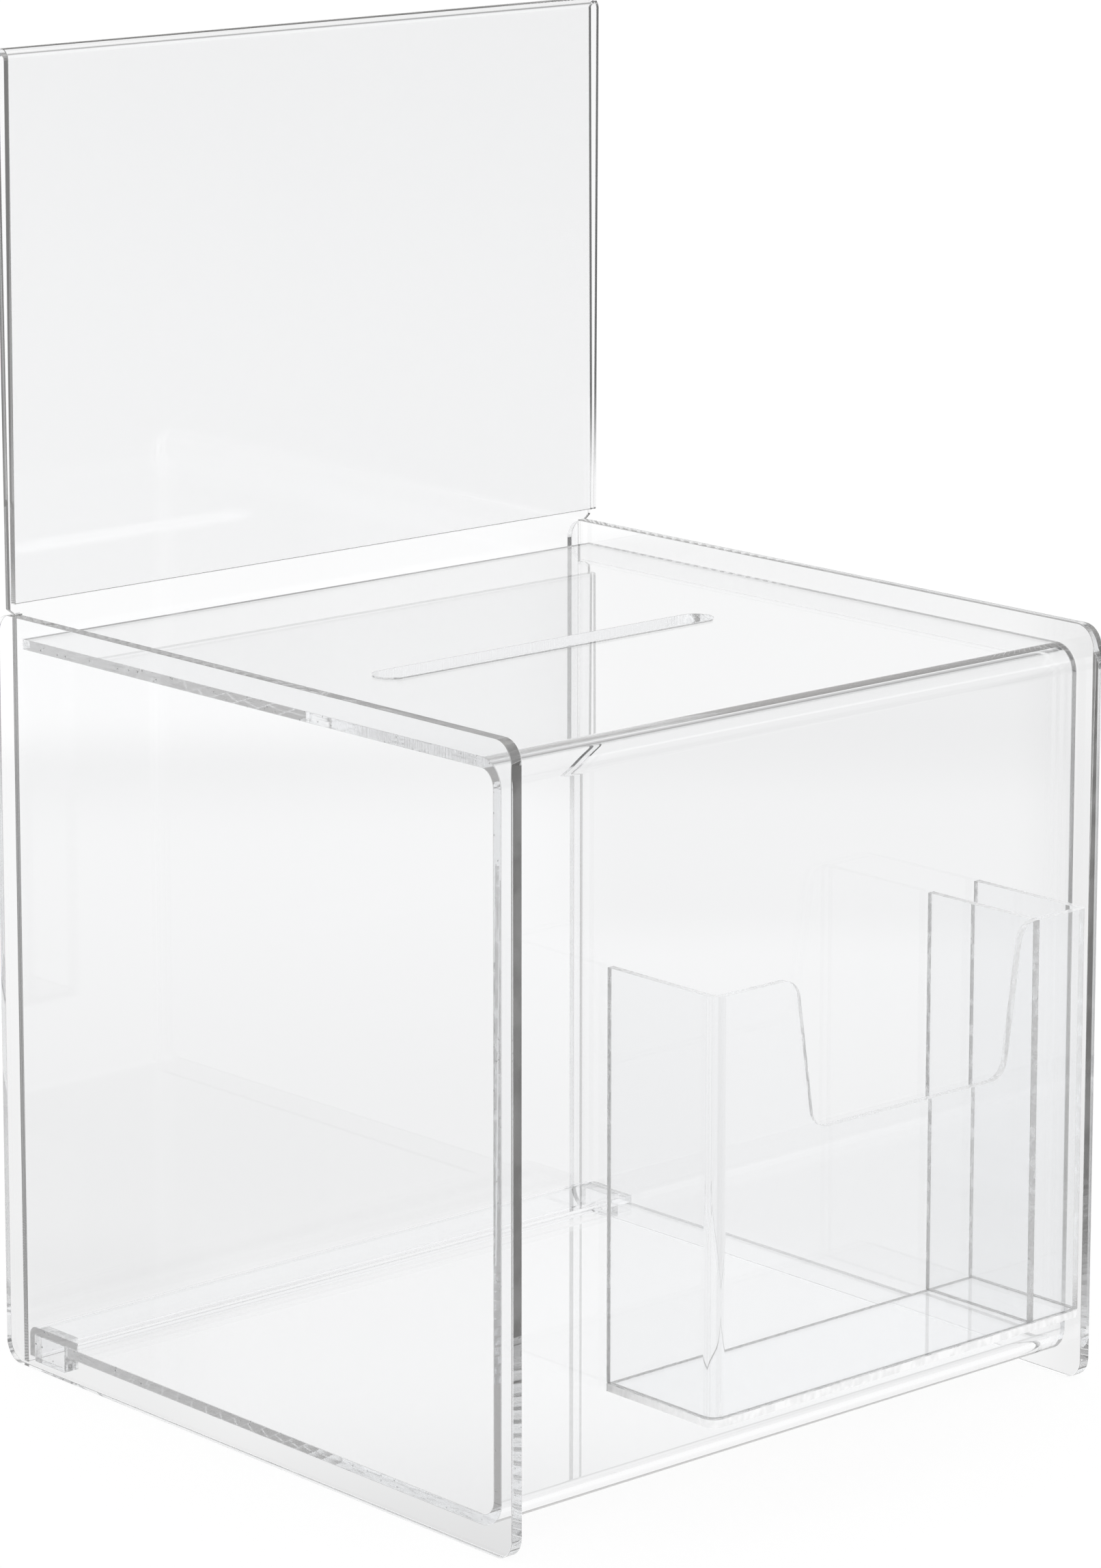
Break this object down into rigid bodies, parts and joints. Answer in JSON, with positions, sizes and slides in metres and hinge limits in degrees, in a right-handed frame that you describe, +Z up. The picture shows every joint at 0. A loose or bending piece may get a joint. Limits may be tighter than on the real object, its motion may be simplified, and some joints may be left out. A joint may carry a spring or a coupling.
{
  "type": "donation box",
  "caption": "Clear acrylic donation box with a slotted top, a tall sign pocket rising behind it and a leaflet and pen dispenser on its front.",
  "frame": {"origin": "on the table, under the middle of the whole object's bounding box; the box's own footprint is centred 23.75 mm behind it", "axes": "+Z up, -Y out of the front where the dispenser is, +X to the right of someone who faces the front"},
  "size_m": [0.3, 0.3474, 0.518],
  "materials": {
    "left_side_panel": "clear polished acrylic",
    "right_side_panel": "clear polished acrylic",
    "body_wrap": "clear polished acrylic",
    "sign_holder": "clear polished acrylic",
    "rear_sill": "clear polished acrylic",
    "left_corner_block": "clear acrylic, sawn faces",
    "right_corner_block": "clear acrylic, sawn faces",
    "dispenser_front": "clear polished acrylic",
    "dispenser_partition": "clear polished acrylic",
    "dispenser_base": "clear polished acrylic"
  },
  "bodies": {
    "housing": {"left_side_panel": "left_side_panel", "right_side_panel": "right_side_panel", "body_wrap": "body_wrap", "rear_sill": "rear_sill", "left_corner_block": "left_corner_block", "right_corner_block": "right_corner_block", "dispenser_front": "dispenser_front", "dispenser_partition": "dispenser_partition", "dispenser_base": "dispenser_base"},
    "sign": {"sign_holder": "sign_holder"}
  },
  "joints": [
    {"name": "sign_lift", "type": "slide", "parent": "housing", "child": "sign", "axis": [0, 0, 1], "range_m": [0, 0.3]}
  ]
}
